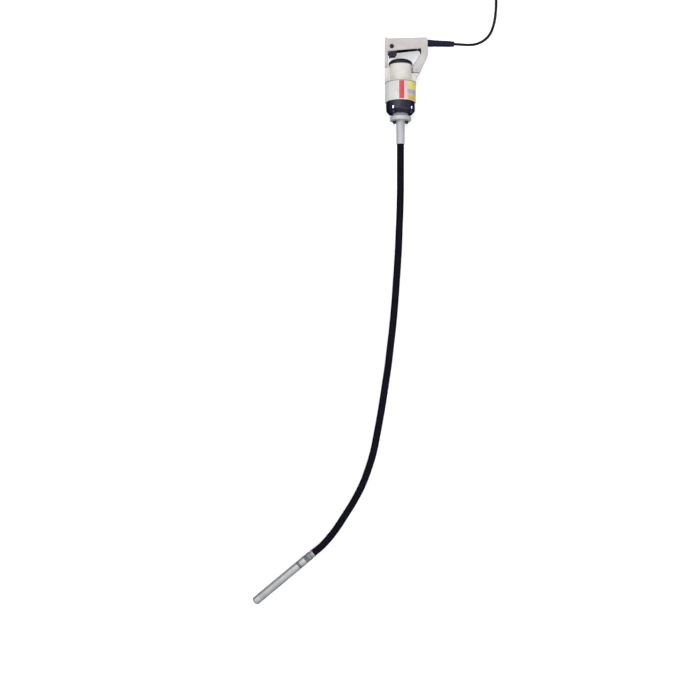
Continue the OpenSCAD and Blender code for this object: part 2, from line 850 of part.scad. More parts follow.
module lead_tie() {
    color([0.1, 0.1, 0.1]) translate(coil_at) rotate(200) translate([coil_r, 0, coil_h / 2]) difference() {
        translate([0, 0, 0.9]) cube([coil_w + 4, 6, coil_h + 1.8], center = true);
        translate([0, 0, -1]) cube([coil_w + 0.4, 8, coil_h + 2.4], center = true);
    }
}

// The plug lies on the coil and points along a tangent; it is drawn along x from the middle of its body
plug_angle = 20;
plug_tail = 26;

module on_coil() {
    translate(coil_at) rotate(plug_angle) translate([coil_r, plug_tail, coil_h + 9]) rotate(90) children();
}

module plug_body() {
    color([0.05, 0.05, 0.06]) on_coil() difference() {
        hull() {
            translate([-plug_tail, 0, 0]) rotate([0, 90, 0]) cylinder(r = 6, h = 8, $fn = 24);
            translate([-8, 0, 0]) cube([2, 26, 18], center = true);
            translate([12, 0, 0]) cube([2, 26, 16], center = true);
        }
        for (side = [-6.35, 6.35]) translate([8, side, 0]) cube([20, 1.5, 6.3], center = true);
    }
}

module plug_pins() {
    color([0.8, 0.7, 0.4]) on_coil() for (side = [-6.35, 6.35])
        translate([15, side, 0]) cube([34, 1.5, 6.3], center = true);
}

// ---- assembly ----

handle_front_shell();
handle_back_shell();
handle_screws();
handle_cross_bolts();
grip_pad();
trigger();
trigger_spring();
switch_block();
lock_button();
button_spring();
cord_guard();
lead_entry();
cord_clamp();
cord_clamp_screws();
switch_wires();
rear_housing();
rear_housing_screws();
dome_cover();
brush_holders();
carbon_brushes();
brush_springs();
motor_housing();
label_red_band();
label_side_plates();
stator_core();
field_coils();
armature_shaft();
armature_core();
armature_windings();
commutator();
fan();
front_bearing_outer();
front_bearing_inner();
rear_bearing_outer();
rear_bearing_inner();
front_bracket();
bracket_screws();
coupling_flange();
flange_nuts();
sleeve_tube();
drive_coupling();
core_end_motor();
hose();
hose_liner();
wire_core();
hose_ferrule();
head_thread_collar();
head_groove_collar();
head_tube();
head_tip();
eccentric_rotor();
head_bearings_outer();
head_bearings_inner();
oil_seal();
drive_dog();
lead_cord();
lead_coil();
lead_tie();
plug_body();
plug_pins();
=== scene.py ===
import json
import math

import bmesh
import bpy
from mathutils import Matrix, Vector


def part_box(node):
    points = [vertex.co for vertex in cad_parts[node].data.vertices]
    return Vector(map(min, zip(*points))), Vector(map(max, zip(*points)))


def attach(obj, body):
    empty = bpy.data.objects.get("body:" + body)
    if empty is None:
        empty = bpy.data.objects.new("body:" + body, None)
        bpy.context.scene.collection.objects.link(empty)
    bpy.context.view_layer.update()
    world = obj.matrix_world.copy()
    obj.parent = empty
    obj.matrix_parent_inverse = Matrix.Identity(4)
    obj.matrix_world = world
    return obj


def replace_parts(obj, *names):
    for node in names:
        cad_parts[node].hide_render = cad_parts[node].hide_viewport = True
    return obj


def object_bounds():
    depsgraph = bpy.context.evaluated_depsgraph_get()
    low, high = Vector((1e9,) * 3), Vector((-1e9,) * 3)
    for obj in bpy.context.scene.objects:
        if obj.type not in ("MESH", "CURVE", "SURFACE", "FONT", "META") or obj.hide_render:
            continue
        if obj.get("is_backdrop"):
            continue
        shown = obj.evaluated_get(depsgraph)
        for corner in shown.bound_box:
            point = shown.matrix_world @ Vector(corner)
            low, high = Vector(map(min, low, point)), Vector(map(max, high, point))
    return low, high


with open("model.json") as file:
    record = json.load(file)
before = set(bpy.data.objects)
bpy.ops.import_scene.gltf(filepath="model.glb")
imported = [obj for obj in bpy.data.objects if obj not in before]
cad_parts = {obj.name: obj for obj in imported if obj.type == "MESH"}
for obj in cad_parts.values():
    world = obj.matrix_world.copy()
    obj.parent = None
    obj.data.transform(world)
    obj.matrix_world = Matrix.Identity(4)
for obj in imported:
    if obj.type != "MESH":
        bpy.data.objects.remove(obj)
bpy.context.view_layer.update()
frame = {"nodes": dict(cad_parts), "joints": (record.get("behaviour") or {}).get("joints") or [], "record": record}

# The look of an electric concrete vibrator: a hand-held motor with a D handle, a flexible hose and a
# poker head, lying on a pale floor and seen from straight above.
# Lengths in drawings of round parts are millimetres, and each drawing has a matrix that lays it
# down in the row frame, in metres.

MM = 0.001
nodes = frame["nodes"]
joints = {joint["name"]: joint for joint in frame["joints"]}
slot_of = {part["node"]: part["material_slot"] for part in frame["record"]["subparts"]}


# ---- places, from the frame ----

def middle(node):
    low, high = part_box(node)
    return (low + high) / 2


def girth_radius(node):
    """Radius in mm of a round node whose axis runs along Y."""
    low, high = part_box(node)
    return (high.x - low.x) / 2 / MM


def along_motor(node):
    """Lowest and highest place in mm of a node along the motor's axis."""
    low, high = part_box(node)
    return (low.y - motor_at.y) / MM, (high.y - motor_at.y) / MM


motor_at = middle("motor_housing")
motor_at.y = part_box("front_bracket")[0].y
on_motor = (
    Matrix.Translation(motor_at) @ Matrix.Rotation(-math.pi / 2, 4, "X") @ Matrix.Scale(MM, 4)
)

head_joint = Vector(joints["rotor_spin"]["pos_m"])
to_hose = -Vector(joints["rotor_spin"]["axis"])
head_len = max((head_joint - v.co).dot(to_hose) for v in nodes["head_tip"].data.vertices) / MM
on_head = (
    Matrix.Translation(head_joint)
    @ Matrix.Rotation(math.atan2(to_hose.y, to_hose.x), 4, "Z")
    @ Matrix.Rotation(math.pi / 2, 4, "Y")
    @ Matrix.Scale(MM, 4)
    @ Matrix.Translation((0, 0, -head_len))
)


# ---- camera ----

CAMERA_HEIGHT = 3.5
FIELD = 2.45
SENSOR = 36
camera_data = bpy.data.cameras.new("camera")
camera_data.sensor_width = SENSOR
camera_data.lens = SENSOR * CAMERA_HEIGHT / FIELD
camera_data.clip_end = 50
camera = bpy.data.objects.new("camera", camera_data)
camera.location = (-0.011, -0.095, CAMERA_HEIGHT)
bpy.context.scene.collection.objects.link(camera)
bpy.context.scene.camera = camera


# ---- mesh helpers ----

# Edges that turn by more than this many degrees stay sharp
CREASE = 40

# How far from its axis an open outline starts and ends, in mm
AXIS_GAP = 0.02


def link(name, mesh):
    piece = bpy.data.objects.new(name, mesh)
    bpy.context.scene.collection.objects.link(piece)
    return piece


def soften(mesh):
    """Smooth shading, with the creases left sharp."""
    mesh.shade_smooth()
    mesh.set_sharp_from_angle(angle=math.radians(CREASE))


def ring_mesh(name, rings, round_trip=False):
    """A closed skin over rings of points, all with as many points. A round trip joins the last
    ring to the first one. The UV map is in metres, around and along."""
    sides = len(rings[0])
    count = len(rings)
    points = [point for ring in rings for point in ring]
    along = [0.0]
    for a, b in zip(rings, rings[1:] + rings[:1]):
        along.append(along[-1] + (a[0] - b[0]).length)
    girth = max(sum((ring[k] - ring[k - 1]).length for k in range(sides)) for ring in rings)
    faces = []
    marks = []
    for i in range(count if round_trip else count - 1):
        j = (i + 1) % count
        for k in range(sides):
            m = (k + 1) % sides
            faces.append((i * sides + k, i * sides + m, j * sides + m, j * sides + k))
            u0 = girth * k / sides
            u1 = girth * (k + 1) / sides
            marks += [(u0, along[i]), (u1, along[i]), (u1, along[i + 1]), (u0, along[i + 1])]
    if not round_trip:
        first = list(range(sides))[::-1]
        last = [(count - 1) * sides + k for k in range(sides)]
        for face in (first, last):
            faces.append(tuple(face))
            flat = [points[v] for v in face]
            marks += [(p.x, p.y) for p in flat]
    mesh = bpy.data.meshes.new(name)
    mesh.from_pydata([tuple(p) for p in points], [], faces)
    layer = mesh.uv_layers.new(name="metres")
    for entry, mark in zip(layer.data, marks):
        entry.uv = mark
    bm = bmesh.new()
    bm.from_mesh(mesh)
    bmesh.ops.recalc_face_normals(bm, faces=bm.faces)
    bm.to_mesh(mesh)
    bm.free()
    soften(mesh)
    return link(name, mesh)


def rounded(corners, soft, closed):
    """An outline with each corner replaced by a short arc. A corner may give its own softness."""
    steps = 4
    count = len(corners)
    outline = []
    for i, corner in enumerate(corners):
        here = Vector(corner[:2])
        if not closed and i in (0, count - 1):
            outline.append(here)
            continue
        reach = corner[2] if len(corner) > 2 else soft
        before = Vector(corners[i - 1][:2]) - here
        after = Vector(corners[(i + 1) % count][:2]) - here
        cut = min(reach, before.length * 0.45, after.length * 0.45)
        if cut < 0.02:
            outline.append(here)
            continue
        start = here + before.normalized() * cut
        end = here + after.normalized() * cut
        for k in range(steps + 1):
            t = k / steps
            outline.append(start * (1 - t) ** 2 + here * 2 * t * (1 - t) + end * t * t)
    return outline


def turned(name, place, corners, soft=0.6, closed=True, sides=96):
    """A round part, from the outline (radius, height) of its section. An open outline starts and
    ends near the axis."""
    rings = []
    for radius, height in rounded(corners, soft, closed):
        ring = []
        for k in range(sides):
            a = 2 * math.pi * k / sides
            ring.append(place @ Vector((radius * math.cos(a), radius * math.sin(a), height)))
        rings.append(ring)
    return ring_mesh(name, rings, round_trip=closed)


def smooth_line(points, step):
    """Points about step apart, on a smooth curve through the given points."""
    points = [Vector(p) for p in points]
    ends = [points[0] * 2 - points[1]] + points + [points[-1] * 2 - points[-2]]
    line = []
    for a, b, c, d in zip(ends, ends[1:], ends[2:], ends[3:]):
        count = max(1, round((c - b).length / step))
        for k in range(count):
            t = k / count
            line.append(
                0.5
                * (
                    b * 2
                    + (c - a) * t
                    + (a * 2 - b * 5 + c * 4 - d) * t * t
                    + (b * 3 - a - c * 3 + d) * t * t * t
                )
            )
    line.append(points[-1])
    return line


def swept(name, line, radius, sides):
    """A round tube along a line. radius is a number, or a function of the distance along it."""
    rings = []
    side = None
    gone = 0.0
    for i, point in enumerate(line):
        before = line[max(i - 1, 0)]
        after = line[min(i + 1, len(line) - 1)]
        gone += (point - before).length
        heading = (after - before).normalized()
        if side is None:
            side = heading.cross(Vector((0, 0, 1)))
        side = (side - heading * side.dot(heading)).normalized()
        up = heading.cross(side)
        here = radius(gone) if callable(radius) else radius
        ring = []
        for k in range(sides):
            a = 2 * math.pi * k / sides
            ring.append(point + here * (math.cos(a) * side + math.sin(a) * up))
        rings.append(ring)
    return ring_mesh(name, rings)


def cast(name, node, grain_mm, passes):
    """A copy of a CAD node's shape with every edge rounded over, as on a moulding or a casting."""
    mesh = nodes[node].data.copy()
    mesh.name = name
    mesh.materials.clear()
    bm = bmesh.new()
    bm.from_mesh(mesh)
    bmesh.ops.remove_doubles(bm, verts=bm.verts, dist=1e-6)
    bm.to_mesh(mesh)
    bm.free()
    piece = link(name, mesh)
    melt = piece.modifiers.new("melt", "REMESH")
    melt.mode = "VOXEL"
    melt.voxel_size = grain_mm * MM
    ease = piece.modifiers.new("ease", "SMOOTH")
    ease.factor = 0.5
    ease.iterations = passes
    bpy.context.view_layer.update()
    ready = piece.evaluated_get(bpy.context.evaluated_depsgraph_get())
    final = bpy.data.meshes.new_from_object(ready)
    piece.modifiers.clear()
    piece.data = final
    final.name = name
    final.shade_smooth()
    return piece


def settle(piece, body, slot, *replaced):
    """Gives a piece its finish and its body, and hides the CAD nodes that it stands for."""
    piece.data.materials.clear()
    piece.data.materials.append(paints[slot])
    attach(piece, body)
    if replaced:
        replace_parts(piece, *replaced)
    return piece


# ---- materials ----

def tone(red, green, blue):
    """A display colour, 0 to 255, as scene-linear RGBA."""
    linear = []
    for value in (red, green, blue):
        share = value / 255
        linear.append(share / 12.92 if share <= 0.04045 else ((share + 0.055) / 1.055) ** 2.4)
    return (*linear, 1.0)


class Finish:
    """One node material, built up from noise at real scales. Scales are in features a metre."""

    def __init__(self, name, from_uv=False):
        self.material = bpy.data.materials.new(name)
        self.material.use_nodes = True
        self.tree = self.material.node_tree
        self.shader = self.tree.nodes["Principled BSDF"]
        spots = self.add("ShaderNodeTexCoord")
        self.spot = spots.outputs["UV" if from_uv else "Object"]
        self.colour = None
        self.normal = None

    def add(self, kind, **values):
        made = self.tree.nodes.new(kind)
        for key, value in values.items():
            setattr(made, key, value)
        return made

    def join(self, source, target):
        self.tree.links.new(source, target)

    def noise(self, scale, detail=4, stretch=(1, 1, 1), turn=0.0):
        mapped = self.add("ShaderNodeMapping")
        mapped.inputs["Scale"].default_value = stretch
        mapped.inputs["Rotation"].default_value = (turn * 0.6, turn * 0.4, turn)
        self.join(self.spot, mapped.inputs["Vector"])
        made = self.add("ShaderNodeTexNoise")
        made.inputs["Scale"].default_value = scale
        made.inputs["Detail"].default_value = detail
        made.inputs["Roughness"].default_value = 0.55
        self.join(mapped.outputs["Vector"], made.inputs["Vector"])
        return made.outputs["Fac"]

    def band(self, source, low, high, to_low=0.0, to_high=1.0):
        made = self.add("ShaderNodeMapRange")
        for key, value in (
            ("From Min", low), ("From Max", high), ("To Min", to_low), ("To Max", to_high)
        ):
            made.inputs[key].default_value = value
        self.join(source, made.inputs["Value"])
        return made.outputs["Result"]

    def times(self, a, b):
        made = self.add("ShaderNodeMath", operation="MULTIPLY")
        self.join(a, made.inputs[0])
        self.join(b, made.inputs[1])
        return made.outputs["Value"]

    def tones(self, scale, colours):
        """Base colour: a ramp through these colours, by soft patches."""
        low, high = 0.32, 0.68
        ramp = self.add("ShaderNodeValToRGB")
        band = ramp.color_ramp
        spread = len(colours) - 1
        while len(band.elements) < len(colours):
            band.elements.new(0.5)
        for i, colour in enumerate(colours):
            band.elements[i].position = low + (high - low) * i / spread
            band.elements[i].color = tone(*colour)
        self.join(self.noise(scale), ramp.inputs["Fac"])
        self.colour = ramp.outputs["Color"]
        return self

    def over(self, mask, colour):
        """Lays a colour over the base colour where the mask is high."""
        mix = self.add("ShaderNodeMix", data_type="RGBA")
        self.join(mask, mix.inputs["Factor"])
        self.join(self.colour, mix.inputs["A"])
        mix.inputs["B"].default_value = tone(*colour)
        self.colour = mix.outputs["Result"]
        return self

    def specks(self, scale, colour, low, high, amount):
        return self.over(self.band(self.noise(scale, 2), low, high, 0, amount), colour)

    def edge_wear(self, colour, amount):
        """Rubbed edges, broken up by noise. It shows on finely meshed pieces."""
        shape = self.add("ShaderNodeNewGeometry")
        edge = self.band(shape.outputs["Pointiness"], 0.53, 0.6, 0, amount)
        return self.over(self.times(edge, self.band(self.noise(160, 5), 0.42, 0.62)), colour)

    def hollows(self, colour, amount):
        """Grime in the hollows."""
        shape = self.add("ShaderNodeNewGeometry")
        hollow = self.band(shape.outputs["Pointiness"], 0.49, 0.44, 0, amount)
        return self.over(self.times(hollow, self.band(self.noise(60, 4), 0.3, 0.7)), colour)

    def gloss(self, low, high, scale=45):
        """Roughness from low to high, by soft patches."""
        patches = self.band(self.noise(scale), 0.3, 0.7, low, high)
        self.join(patches, self.shader.inputs["Roughness"])
        return self

    def bump(self, height, depth_mm):
        made = self.add("ShaderNodeBump")
        made.inputs["Strength"].default_value = 1.0
        made.inputs["Distance"].default_value = depth_mm * MM
        self.join(height, made.inputs["Height"])
        if self.normal is not None:
            self.join(self.normal, made.inputs["Normal"])
        self.normal = made.outputs["Normal"]
        return self

    def grain(self, scale, depth_mm, detail=3, **noise):
        return self.bump(self.noise(scale, detail, **noise), depth_mm)

    def scratches(self, scale, amount, colour, length=24):
        """Fine scratches in two directions, in colour and in depth."""
        for turn in (0.6, 2.1):
            line = self.band(
                self.noise(scale, 3, stretch=(length, 1, 1), turn=turn), 0.66, 0.72, 0, amount
            )
            self.over(line, colour)
            self.bump(line, -0.02)
        return self

    def waves(self, pitch_mm, depth_mm, direction, distortion=0.0, turn=0.0):
        """Parallel ridges, pitch_mm apart along U or V, or across a turned map."""
        mapped = self.add("ShaderNodeMapping")
        mapped.inputs["Rotation"].default_value = (0, 0, turn)
        self.join(self.spot, mapped.inputs["Vector"])
        made = self.add("ShaderNodeTexWave", bands_direction=direction)
        made.inputs["Scale"].default_value = math.pi / 10 / (pitch_mm * MM)
        made.inputs["Distortion"].default_value = distortion
        self.join(mapped.outputs["Vector"], made.inputs["Vector"])
        return self.bump(made.outputs["Fac"], depth_mm)

    def done(self, metallic=0.0, **inputs):
        shader = self.shader
        self.join(self.colour, shader.inputs["Base Color"])
        if self.normal is not None:
            self.join(self.normal, shader.inputs["Normal"])
        shader.inputs["Metallic"].default_value = metallic
        for key, value in inputs.items():
            shader.inputs[key.replace("_", " ").title().replace("Ior", "IOR")].default_value = value
        return self.material


def enamel(name, colours, low, high):
    """Sprayed enamel on a casting: satin, faint orange peel, rubbed edges and grime."""
    finish = Finish(name).tones(26, colours)
    finish.specks(900, (120, 116, 108), 0.66, 0.72, 0.35)
    finish.edge_wear((150, 148, 145), 0.55)
    finish.hollows((70, 68, 66), 0.5)
    finish.scratches(55, 0.16, (176, 172, 166))
    finish.gloss(low, high)
    finish.grain(500, 0.03)
    return finish.grain(2600, 0.008).done(coat_weight=0.06, coat_roughness=0.3)


def casting_black():
    """Black enamel on the front bracket, chipped and shiny on its edges."""
    finish = Finish("bracket_finish").tones(26, [(5, 5, 24), (8, 8, 33), (14, 14, 40)])
    finish.specks(900, (60, 60, 66), 0.66, 0.72, 0.3)
    finish.edge_wear((104, 104, 110), 0.45)
    finish.scratches(55, 0.12, (84, 84, 90))
    finish.gloss(0.3, 0.44)
    finish.grain(500, 0.03)
    return finish.grain(2600, 0.008).done(specular_ior_level=0.3)


def moulded(name, colours, low, high):
    """Moulded plastic with a fine spark-eroded texture."""
    worn = (84, 84, 90)
    finish = Finish(name).tones(34, colours)
    finish.specks(1400, worn, 0.68, 0.74, 0.25)
    finish.edge_wear(worn, 0.35)
    finish.scratches(70, 0.1, worn)
    finish.gloss(low, high, 60)
    return finish.grain(1900, 0.05, 5).done(specular_ior_level=0.22)


def rubber(name, colours, low, high):
    """Black rubber with a bloom, scuffs and dust."""
    finish = Finish(name).tones(18, colours)
    finish.specks(320, (62, 60, 64), 0.63, 0.74, 0.25)
    finish.scratches(40, 0.12, (56, 55, 60))
    finish.gloss(low, high, 30)
    finish.grain(240, 0.06)
    return finish.grain(2200, 0.02).done(specular_ior_level=0.1)


def steel(name, colours, low, high, turned_marks=False, metallic=1.0):
    """Bare steel: ground or turned marks, handling stains and light scratches."""
    finish = Finish(name, from_uv=turned_marks).tones(20, colours)
    finish.specks(180, (120, 112, 100), 0.6, 0.75, 0.25)
    finish.scratches(60, 0.25, (232, 232, 232))
    finish.gloss(low, high, 35)
    if turned_marks:
        finish.grain(60, 0.012, 2, stretch=(1, 60, 1))
    else:
        finish.grain(90, 0.01, 3, stretch=(1, 1, 30))
    return finish.grain(700, 0.01).done(metallic=metallic)


def film(name, colours):
    """Printed film under a clear coat, slightly faded and scuffed."""
    finish = Finish(name).tones(40, colours)
    finish.specks(500, (226, 220, 214), 0.66, 0.72, 0.3)
    finish.scratches(90, 0.14, (225, 220, 215))
    finish.gloss(0.28, 0.42, 50)
    return finish.grain(1200, 0.01).done(coat_weight=0.08, coat_roughness=0.3)


def hose_rubber():
    """Hose cover: black rubber with the imprint of its cloth wrapping, dust and scuffs."""
    finish = Finish("hose_cover", from_uv=True).tones(9, [(3, 2, 9), (4, 3, 12), (7, 6, 16)])
    finish.specks(60, (24, 22, 30), 0.6, 0.74, 0.3)
    finish.specks(900, (66, 64, 68), 0.68, 0.76, 0.3)
    finish.scratches(26, 0.12, (40, 39, 46), length=8)
    finish.gloss(0.46, 0.64, 24)
    finish.waves(32, 0.12, "Y", distortion=0.6, turn=0.35)
    finish.waves(1.3, 0.035, "X", turn=0.5)
    finish.waves(1.3, 0.035, "Y", turn=0.5)
    return finish.grain(420, 0.06).done(specular_ior_level=0.05)


paints = {
    "handle_grey": enamel(
        "handle_finish", [(150, 146, 143), (158, 153, 152), (164, 160, 158)], 0.45, 0.6
    ),
    "cap_cream": enamel(
        "cap_finish", [(164, 160, 155), (174, 170, 164), (179, 176, 171)], 0.4, 0.55
    ),
    "housing_grey": enamel(
        "housing_finish", [(161, 161, 158), (170, 169, 165), (175, 175, 172)], 0.34, 0.48
    ),
    "black_casting": casting_black(),
    "dome_black": moulded("dome_finish", [(4, 4, 14), (7, 7, 20), (12, 12, 27)], 0.3, 0.44),
    "black_rubber": rubber("black_rubber", [(6, 5, 12), (9, 8, 17), (14, 13, 22)], 0.5, 0.66),
    "guard_rubber": rubber("guard_rubber", [(13, 10, 27), (18, 14, 37), (24, 21, 43)], 0.5, 0.64),
    "trigger_dark": moulded("trigger_finish", [(3, 2, 21), (5, 4, 29), (9, 8, 35)], 0.38, 0.5),
    "switch_black": moulded("switch_finish", [(6, 6, 8), (9, 9, 11), (15, 15, 17)], 0.4, 0.54),
    "label_red": film("red_film", [(164, 3, 7), (175, 5, 9), (183, 9, 12)]),
    "label_side": film("yellow_film", [(175, 162, 69), (183, 172, 84), (188, 178, 97)]),
    "bright_steel": steel(
        "bright_plating", [(214, 214, 217), (226, 226, 229), (236, 236, 238)], 0.16, 0.28
    ),
    "satin_steel": steel(
        "satin_steel", [(145, 145, 147), (154, 154, 156), (162, 162, 163)], 0.46, 0.6, True, 0.3
    ),
    "head_steel": steel(
        "head_steel", [(141, 141, 140), (150, 150, 149), (158, 158, 157)], 0.4, 0.54, True, 0.7
    ),
    "blued_steel": steel(
        "blued_steel", [(99, 106, 112), (112, 119, 124), (128, 134, 139)], 0.44, 0.58,
        metallic=0.6,
    ),
    # Painted shade: this near-black steel is on the flange nuts, where it stands in for the shade under the flange
    "dark_steel": steel("black_oxide_painted_shade", [(26, 26, 30), (34, 34, 38), (48, 48, 52)], 0.4, 0.55),
    "spring_steel": steel(
        "spring_wire", [(170, 170, 172), (186, 186, 188), (200, 200, 202)], 0.24, 0.36
    ),
    "bearing_steel": steel(
        "bearing_steel", [(196, 197, 200), (206, 207, 210), (216, 217, 220)], 0.1, 0.2
    ),
    "laminations": steel(
        "laminations", [(118, 118, 122), (134, 134, 138), (150, 150, 154)], 0.4, 0.55
    ),
    "copper_wire": steel("winding", [(140, 72, 30), (168, 88, 38), (190, 108, 52)], 0.26, 0.4),
    "copper": steel(
        "commutator_copper", [(178, 116, 82), (198, 134, 98), (212, 152, 116)], 0.24, 0.4
    ),
    "brass": steel("brass", [(196, 164, 92), (210, 180, 108), (222, 194, 124)], 0.2, 0.34),
    "carbon": moulded("carbon", [(34, 34, 36), (44, 44, 46), (56, 56, 58)], 0.5, 0.65),
    "fan_plastic": moulded("fan_nylon", [(38, 38, 42), (48, 48, 52), (58, 58, 62)], 0.4, 0.55),
    "wire_red": moulded(
        "wire_insulation", [(120, 20, 20), (140, 28, 26), (156, 40, 36)], 0.36, 0.5
    ),
    "liner_steel": steel(
        "liner_steel", [(120, 120, 122), (138, 138, 140), (152, 152, 154)], 0.34, 0.5
    ),
    "wire_rope": steel(
        "wire_rope", [(104, 104, 106), (122, 122, 124), (140, 140, 142)], 0.34, 0.5
    ),
    "lead_black": rubber("lead_sheath", [(8, 8, 10), (12, 12, 14), (19, 19, 21)], 0.5, 0.64),
}
mauve_film = film("mauve_film", [(135, 122, 137), (146, 133, 148), (154, 142, 155)])
amber_film = film("amber_film", [(175, 122, 33), (180, 146, 55), (175, 159, 69)])
white_film = film("white_film", [(168, 167, 164), (175, 174, 172), (180, 179, 177)])
hose_cover = hose_rubber()

for node, piece in nodes.items():
    piece.data.materials.clear()
    piece.data.materials.append(paints[slot_of[node]])


# ---- cords, on the routes of part.scad ----

HOSE_R = 0.0123
hose_route = [
    (0.163, 0.623, 0.053), (0.163, 0.614, 0.053), (0.163, 0.572, 0.0525), (0.163, 0.510, 0.050),
    (0.163, 0.450, 0.045), (0.162, 0.390, 0.038), (0.160, 0.330, 0.030), (0.158, 0.270, 0.023),
    (0.155, 0.210, 0.017), (0.151, 0.150, 0.014), (0.147, 0.090, 0.0126), (0.142, 0.030, 0.0124),
    (0.136, -0.030, 0.0124), (0.129, -0.090, 0.0124), (0.122, -0.150, 0.0124),
    (0.113, -0.210, 0.0124), (0.104, -0.270, 0.0124), (0.094, -0.330, 0.0124),
    (0.083, -0.390, 0.0124), (0.071, -0.450, 0.0124), (0.054, -0.507, 0.0124),
    (0.033, -0.563, 0.0124), (0.005, -0.618, 0.0124), (-0.027, -0.670, 0.0124),
    (-0.060, -0.720, 0.0126), (-0.091, -0.759, 0.0132), (-0.115, -0.783, 0.014),
    (-0.1377, -0.80175, 0.014),
]

LEAD_R = 0.0045
lead_route = [
    (0.3479, 0.9593, 0.053), (0.371, 0.9585, 0.051), (0.396, 0.9594, 0.044), (0.421, 0.964, 0.034),
    (0.444, 0.975, 0.023), (0.464, 0.991, 0.013), (0.480, 1.012, 0.007), (0.490, 1.038, 0.005),
    (0.496, 1.066, 0.0046), (0.499, 1.094, 0.0046), (0.500, 1.122, 0.0046),
    (0.500, 1.150, 0.0046), (0.500, 1.180, 0.0046), (0.4997, 1.210, 0.0046),
]

# The coil: neighbours in a layer are PITCH apart and layers LAYER apart. Each shift to the next
# place is spread over part of a turn, given in degrees of winding from the coil's start.
PITCH = 0.0094
LAYER = 0.0092
coil_low, coil_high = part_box("lead_coil")
coil_centre = (coil_low + coil_high) / 2
coil_r = (coil_high.x - coil_low.x) / 2 - PITCH - LEAD_R
inward = [(260, 360), (620, 720), (2130, 2230)]
outward = [(1220, 1320), (1580, 1680)]
upward = [(930, 1030), (1870, 1970)]
to_plug = (2440, 2530)
COIL_END = 2540
plug_axis_z = middle("plug_body").z


def shift(angle, start, end):
    """From 0 before start to 1 after end, with soft ends."""
    t = max(0.0, min(1.0, (angle - start) / (end - start)))
    return t * t * (3 - 2 * t)


def coil_point(angle):
    """A point of the coil's centre line, from the degrees of winding."""
    lanes = 1 + sum(shift(angle, *s) for s in outward) - sum(shift(angle, *s) for s in inward)
    radius = coil_r + PITCH * lanes
    top = lead_route[-1][2] + 2 * LAYER
    height = lead_route[-1][2] + LAYER * sum(shift(angle, *s) for s in upward)
    height += (plug_axis_z - top) * shift(angle, *to_plug)
    a = math.radians(angle)
    return Vector((
        coil_centre.x + radius * math.cos(a), coil_centre.y + radius * math.sin(a), height
    ))


# The coil's step is in degrees of winding, and the last stretch of lead is inside the plug
COIL_STEP = 10
PLUG_REACH = 0.008
LEAD_STEP = 0.006
HOSE_STEP = 0.005
coil_line = [coil_point(angle) for angle in range(0, COIL_END + 1, COIL_STEP)]
last_heading = (coil_line[-1] - coil_line[-2]).normalized()
into_plug = [coil_line[-1] + Vector((last_heading.x, last_heading.y, 0)) * PLUG_REACH]
lead_line = smooth_line(lead_route + coil_line + into_plug, LEAD_STEP)
hose_line = smooth_line(hose_route, HOSE_STEP)

hose = swept("hose_cover", hose_line, HOSE_R, 32)
hose.data.materials.append(hose_cover)
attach(hose, "tool")
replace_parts(hose, "hose")

lead = swept("mains_lead", lead_line, LEAD_R, 14)
settle(lead, "tool", "lead_black", "lead_cord", "lead_coil")


# ---- motor ----

body_r = girth_radius("motor_housing")
housing_z0, housing_z1 = along_motor("motor_housing")
BORE_R = 48
MOUTH_R = 40.5
END_WALL = 6
skin_r = body_r - 0.2
settle(
    turned("motor_shell", on_motor, [
        (MOUTH_R, housing_z0, 0.8), (skin_r, housing_z0, 1.6), (skin_r, housing_z1, 1.4),
        (BORE_R, housing_z1), (BORE_R, housing_z0 + END_WALL), (MOUTH_R, housing_z0 + END_WALL),
    ]),
    "tool", "housing_grey", "motor_housing",
)

# Painted shade: a black ring in the seam between the motor shell and the rear housing stands in for the shadow in
# that seam
shade_ring_r = body_r - 0.05
shade_ring_z0 = housing_z1 - 1.3
shade_ring_z1 = housing_z1 + 0.1
settle(
    turned("seam_shade_ring", on_motor, [
        (shade_ring_r - 2, shade_ring_z0), (shade_ring_r, shade_ring_z0, 0.2), (shade_ring_r, shade_ring_z1, 0.2), (shade_ring_r - 2, shade_ring_z1),
    ]),
    "tool", "black_rubber",
)


def curved_plate(name, start, sweep, low, high, thick, corner, finish):
    """A thin plate with round corners on the motor shell, from angles measured from the top."""
    columns = 40
    arc = math.radians(sweep) * body_r
    rings = []
    for j in range(columns + 1):
        share = (1 - math.cos(math.pi * j / columns)) / 2
        near = min(share, 1 - share) * arc
        inset = corner - math.sqrt(max(0.0, corner ** 2 - max(0.0, corner - near) ** 2))
        a = math.radians(-90 + start + sweep * share)
        ring = []
        for radius, height in (
            (skin_r - 0.2, low + inset), (skin_r + thick, low + inset),
            (skin_r + thick, high - inset), (skin_r - 0.2, high - inset),
        ):
            ring.append(on_motor @ Vector((radius * math.cos(a), radius * math.sin(a), height)))
        rings.append(ring)
    plate = ring_mesh(name, rings)
    plate.data.materials.append(finish)
    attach(plate, "tool")
    return plate


red_low, red_high = along_motor("label_red_band")
RED_START, RED_SWEEP = -8, 19
SIDE_START, SIDE_SWEEP = 24, 42
BORDER_MM = 1
BORDER_ANGLE = 1.4
curved_plate(
    "red_band_border", RED_START - BORDER_ANGLE, RED_SWEEP + 2 * BORDER_ANGLE,
    red_low - BORDER_MM, red_high + BORDER_MM, 0.12, 1.5, white_film,
)
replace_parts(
    curved_plate(
        "red_band", RED_START, RED_SWEEP, red_low, red_high, 0.24, 1, paints["label_red"]
    ),
    "label_red_band",
)
side_low, side_high = along_motor("label_side_plates")
UPPER_H, MIDDLE_H, LOWER_H, PLATE_GAP = 25, 15, 17, 2
middle_low = side_low + LOWER_H + PLATE_GAP
for name, low, high, finish in (
    ("side_plate_upper", side_high - UPPER_H, side_high, paints["label_side"]),
    ("side_plate_middle", middle_low, middle_low + MIDDLE_H, mauve_film),
    ("side_plate_lower", side_low, side_low + LOWER_H, amber_film),
):
    plate = curved_plate(
        name, SIDE_START, SIDE_SWEEP, low, high, 0.2, 1.5, finish
    )
    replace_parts(plate, "label_side_plates")

